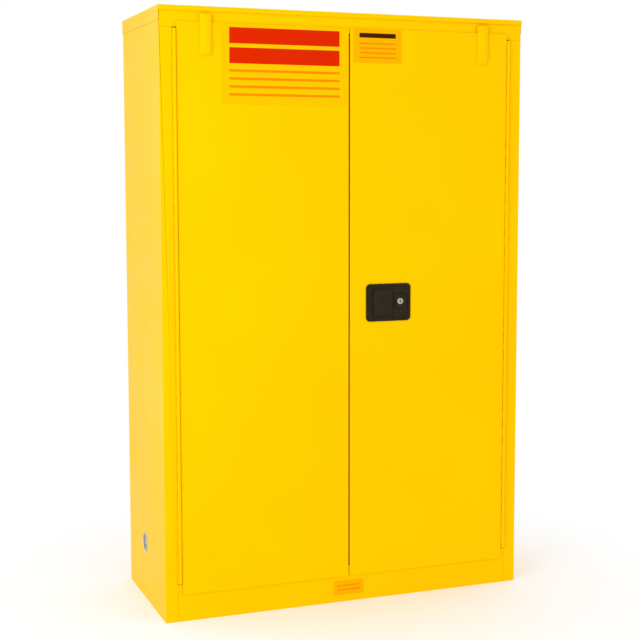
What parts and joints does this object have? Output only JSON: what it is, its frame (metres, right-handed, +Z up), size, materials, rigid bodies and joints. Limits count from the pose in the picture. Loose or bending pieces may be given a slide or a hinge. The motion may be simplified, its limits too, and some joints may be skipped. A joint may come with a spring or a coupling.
{
  "type": "flammable storage cabinet",
  "caption": "Two-door double-wall yellow steel safety cabinet with continuous hinges, recessed paddle handle, three-point latch, lift-out shelves, spill sump and side vents.",
  "frame": {"origin": "middle of the object's footprint, on the floor", "axes": "+Z up, -Y out of the front where the doors are, +X to the right as seen from the front"},
  "size_m": [1.067, 0.446, 1.651],
  "materials": {
    "powder_coat": "smooth semi-gloss safety-yellow powder coat with faint orange peel",
    "galvanised_steel": "galvanised sheet with soft spangle",
    "zinc_plate": "bright zinc plate",
    "handle_black": "satin black moulding",
    "lock_metal": "polished lock face",
    "screen_mesh": "woven steel gauze",
    "label_film": "smooth vinyl film",
    "ink_red": "red printed panel",
    "ink_orange": "orange printed rule",
    "ink_dark": "dark brown printed mark"
  },
  "bodies": {
    "cabinet": {"outer_side_left": "powder_coat", "outer_side_right": "powder_coat", "outer_back": "powder_coat", "base_pan": "powder_coat", "top_cover": "powder_coat", "header": "powder_coat", "sill": "powder_coat", "header_strike": "zinc_plate", "sill_strike": "zinc_plate", "inner_side_left": "powder_coat", "inner_side_right": "powder_coat", "inner_back": "powder_coat", "inner_top": "powder_coat", "sump_pan": "powder_coat", "ground_screw": "zinc_plate", "clip_lower_left_front": "zinc_plate", "clip_lower_left_rear": "zinc_plate", "clip_lower_right_front": "zinc_plate", "clip_lower_right_rear": "zinc_plate", "clip_upper_left_front": "zinc_plate", "clip_upper_left_rear": "zinc_plate", "clip_upper_right_front": "zinc_plate", "clip_upper_right_rear": "zinc_plate", "vent_collar_left": "zinc_plate", "vent_collar_right": "zinc_plate", "flame_screen_left": "screen_mesh", "flame_screen_right": "screen_mesh", "hinge_left_frame_leaf": "powder_coat", "hinge_left_pin": "zinc_plate", "hinge_right_frame_leaf": "powder_coat", "hinge_right_pin": "zinc_plate", "label_sill": "label_film"},
    "door_left": {"door_left_skin": "powder_coat", "door_left_pan": "powder_coat", "door_left_stiffener": "powder_coat", "hinge_left_door_leaf": "powder_coat", "left_strike": "zinc_plate", "label_left": "label_film"},
    "door_right": {"door_right_skin": "powder_coat", "door_right_pan": "powder_coat", "door_right_stiffener": "powder_coat", "hinge_right_door_leaf": "powder_coat", "handle_dish": "handle_black", "paddle_pin": "zinc_plate", "latch_plate": "zinc_plate", "top_rod_guide": "handle_black", "bottom_rod_guide": "handle_black", "latch_cover": "powder_coat", "label_right": "label_film"},
    "paddle": {"paddle": "handle_black"},
    "lock": {"lock_plug": "lock_metal", "lock_cam": "zinc_plate"},
    "latch_rotor": {"latch_rotor": "zinc_plate"},
    "top_rod": {"top_rod": "zinc_plate"},
    "bottom_rod": {"bottom_rod": "zinc_plate"},
    "centre_bolt": {"centre_bolt": "zinc_plate"},
    "shelf_lower": {"shelf_lower": "galvanised_steel"},
    "shelf_upper": {"shelf_upper": "galvanised_steel"},
    "vent_bung_left": {"vent_bung_left": "zinc_plate"},
    "vent_bung_right": {"vent_bung_right": "zinc_plate"}
  },
  "joints": [
    {"name": "left_door_swing", "type": "hinge", "parent": "cabinet", "child": "door_left", "pos_m": [-0.4915, -0.2125, 0.85], "axis": [0, 0, -1], "range_deg": [0, 175]},
    {"name": "right_door_swing", "type": "hinge", "parent": "cabinet", "child": "door_right", "pos_m": [0.4915, -0.2125, 0.85], "axis": [0, 0, 1], "range_deg": [0, 175]},
    {"name": "paddle_pull", "type": "hinge", "parent": "door_right", "child": "paddle", "pos_m": [0.1256, -0.2125, 0.852], "axis": [0, 0, 1], "range_deg": [0, 35], "stiffness_Nm_per_rad": 0.4},
    {"name": "key_turn", "type": "hinge", "parent": "door_right", "child": "lock", "pos_m": [0.1526, -0.2, 0.8546], "axis": [0, -1, 0], "range_deg": [0, 90]},
    {"name": "latch_throw", "type": "hinge", "parent": "door_right", "child": "latch_rotor", "pos_m": [0.118, -0.185, 0.852], "axis": [0, -1, 0], "range_deg": [0, 35]},
    {"name": "top_rod_slide", "type": "slide", "parent": "door_right", "child": "top_rod", "axis": [0, 0, 1], "range_m": [0, 0.0137]},
    {"name": "bottom_rod_slide", "type": "slide", "parent": "door_right", "child": "bottom_rod", "axis": [0, 0, -1], "range_m": [0, 0.0137]},
    {"name": "centre_bolt_slide", "type": "slide", "parent": "door_right", "child": "centre_bolt", "axis": [-1, 0, 0], "range_m": [0, 0.0206]},
    {"name": "lower_shelf_lift", "type": "slide", "parent": "cabinet", "child": "shelf_lower", "axis": [0, 0, 1], "range_m": [0, 0.03]},
    {"name": "upper_shelf_lift", "type": "slide", "parent": "cabinet", "child": "shelf_upper", "axis": [0, 0, 1], "range_m": [0, 0.03]},
    {"name": "left_bung_out", "type": "slide", "parent": "cabinet", "child": "vent_bung_left", "axis": [-1, 0, 0], "range_m": [0, 0.04]},
    {"name": "right_bung_out", "type": "slide", "parent": "cabinet", "child": "vent_bung_right", "axis": [1, 0, 0], "range_m": [0, 0.04]}
  ],
  "couplings": [
    {"joint": "latch_throw", "follows": "top_rod_slide", "rad_per_m": 44.4},
    {"joint": "bottom_rod_slide", "follows": "top_rod_slide", "ratio": 1},
    {"joint": "centre_bolt_slide", "follows": "top_rod_slide", "ratio": 1.5}
  ]
}
